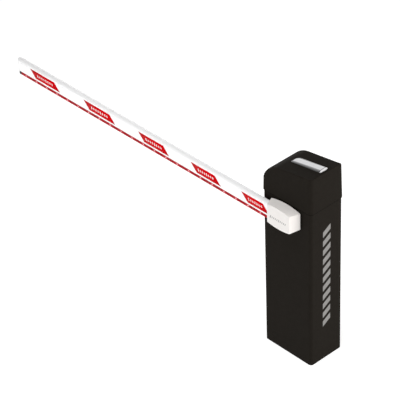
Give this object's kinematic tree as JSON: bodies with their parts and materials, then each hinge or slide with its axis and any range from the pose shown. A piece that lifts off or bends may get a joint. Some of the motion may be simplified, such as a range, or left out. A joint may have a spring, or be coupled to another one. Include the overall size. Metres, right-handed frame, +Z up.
{
  "type": "parking barrier gate",
  "caption": "Parking barrier gate: a slim steel cabinet with a sloped hood and lamp, a short white boom with red labels on a front hub, a back service door, and its drive inside.",
  "frame": {"origin": "centre of the cabinet's footprint, on the ground", "axes": "+Z up; the boom lies along -X in front of the -Y face and rises about +Y; the service door is on the +Y face"},
  "size_m": [1.984, 0.276, 1.0598],
  "materials": {
    "powder_black": "fine-textured near-black powder coat",
    "boom_white": "white powder coat on extruded aluminium",
    "cover_white": "satin moulded warm white",
    "lens_grey": "translucent diffuser",
    "label_red": "retroreflective film",
    "strip_red": "translucent red elastomer",
    "rubber_black": "matt",
    "zinc_steel": "zinc plated",
    "cast_grey": "cast",
    "motor_grey": "enamel",
    "plastic_grey": "moulded",
    "circuit_green": "solder mask"
  },
  "bodies": {
    "cabinet": {"base_plate": "zinc_steel", "anchor_bolt_front_left": "zinc_steel", "anchor_bolt_front_right": "zinc_steel", "anchor_bolt_back_left": "zinc_steel", "anchor_bolt_back_right": "zinc_steel", "cabinet_shell": "powder_black", "hood": "powder_black", "lamp_lens": "lens_grey", "lamp_board": "circuit_green", "mechanism_plate": "zinc_steel", "plate_bracket_left": "zinc_steel", "plate_bracket_right": "zinc_steel", "bearing_front": "cast_grey", "rear_crossbar": "zinc_steel", "bearing_rear": "cast_grey", "stop_buffer_closed": "rubber_black", "stop_buffer_open": "rubber_black", "gearbox": "cast_grey", "motor": "motor_grey", "spring_anchor": "zinc_steel", "control_bracket": "zinc_steel", "control_box": "plastic_grey", "control_box_lid": "plastic_grey", "terminal_block": "plastic_grey", "transformer": "motor_grey", "cable_gland": "rubber_black", "hinge_frame_lower": "zinc_steel", "hinge_frame_upper": "zinc_steel"},
    "boom_arm": {"main_shaft": "zinc_steel", "shaft_collar": "zinc_steel", "balance_lever": "cast_grey", "hub_flange": "zinc_steel", "hub_cover": "cover_white", "clamp_bolt_1": "zinc_steel", "clamp_bolt_2": "zinc_steel", "clamp_bolt_3": "zinc_steel", "clamp_bolt_4": "zinc_steel", "boom_profile": "boom_white", "boom_end_cap": "boom_white", "light_strip": "strip_red", "light_strip_plug": "rubber_black", "label_front_1": "label_red", "label_front_2": "label_red", "label_front_3": "label_red", "label_front_4": "label_red", "label_front_5": "label_red", "label_back_1": "label_red", "label_back_2": "label_red", "label_back_3": "label_red", "label_back_4": "label_red", "label_back_5": "label_red"},
    "crank": {"crank_arm": "zinc_steel"},
    "link": {"link_rod": "zinc_steel"},
    "spring_hanger": {"spring_yoke": "zinc_steel", "balance_spring": "zinc_steel"},
    "door": {"service_door": "powder_black", "hinge_door_lower": "zinc_steel", "hinge_door_upper": "zinc_steel"},
    "lock": {"lock_barrel": "zinc_steel"},
    "release": {"release_lever": "label_red"}
  },
  "joints": [
    {"name": "boom_swing", "type": "hinge", "parent": "cabinet", "child": "boom_arm", "pos_m": [0, 0, 0.806], "axis": [0, 1, 0], "range_deg": [0, 90]},
    {"name": "crank_turn", "type": "hinge", "parent": "cabinet", "child": "crank", "pos_m": [0, 0, 0.64], "axis": [0, 1, 0], "range_deg": [0, 90]},
    {"name": "link_turn", "type": "hinge", "parent": "crank", "child": "link", "pos_m": [-0.0495, 0, 0.5905], "axis": [0, 1, 0], "range_deg": [-90, 0]},
    {"name": "spring_hanger_turn", "type": "hinge", "parent": "boom_arm", "child": "spring_hanger", "pos_m": [0.07, 0, 0.806], "axis": [0, 1, 0], "range_deg": [-97.1, 0], "deforming": ["balance_spring"]},
    {"name": "door_swing", "type": "hinge", "parent": "cabinet", "child": "door", "pos_m": [-0.124, 0.107, 0.44], "axis": [0, 0, 1], "range_deg": [0, 110]},
    {"name": "lock_turn", "type": "hinge", "parent": "door", "child": "lock", "pos_m": [0.1, 0.1, 0.45], "axis": [0, 1, 0], "range_deg": [0, 90]},
    {"name": "release_turn", "type": "hinge", "parent": "cabinet", "child": "release", "pos_m": [0.052, -0.052, 0.71], "axis": [0, 0, 1], "range_deg": [0, 90]}
  ],
  "couplings": [
    {"joint": "crank_turn", "follows": "boom_swing", "ratio": 1},
    {"joint": "link_turn", "follows": "boom_swing", "ratio": -1},
    {"joint": "spring_hanger_turn", "follows": "boom_swing", "ratio": -1.0782}
  ]
}
